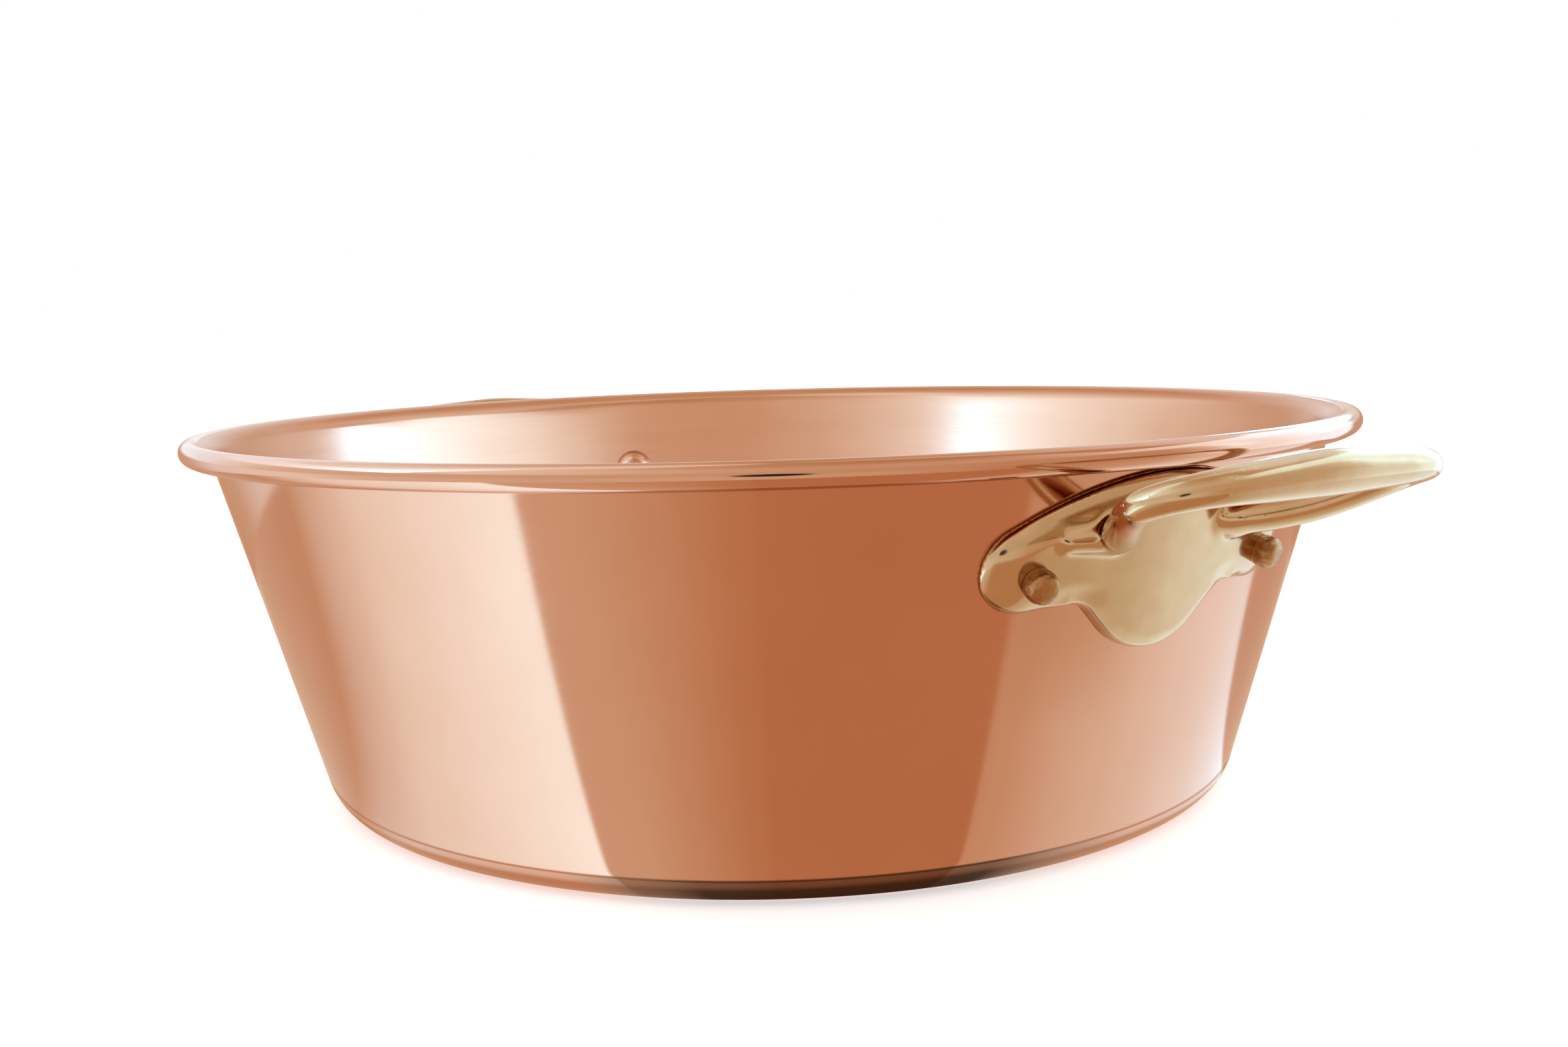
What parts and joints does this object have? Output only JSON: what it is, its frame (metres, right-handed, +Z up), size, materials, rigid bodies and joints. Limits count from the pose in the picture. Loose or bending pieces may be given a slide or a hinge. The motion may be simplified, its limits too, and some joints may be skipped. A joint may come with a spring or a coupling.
{
  "type": "jam pan",
  "caption": "Wide copper preserving pan with leaning walls, a rolled rim and riveted cast loop handles on opposite sides.",
  "frame": {"origin": "middle of the flat underside", "axes": "+Z up out of the bowl, +X through the middle of the right handle"},
  "size_m": [0.4642, 0.3799, 0.12],
  "materials": {
    "copper": "polished copper",
    "steel_wire": "drawn steel wire",
    "bronze": "cast and polished bronze",
    "rivet_copper": "hammered copper alloy"
  },
  "bodies": {
    "root": {"pan_body": "copper", "rim_wire": "steel_wire", "right_handle": "bronze", "left_handle": "bronze", "right_front_rivet": "rivet_copper", "right_back_rivet": "rivet_copper", "left_front_rivet": "rivet_copper", "left_back_rivet": "rivet_copper"}
  },
  "joints": []
}
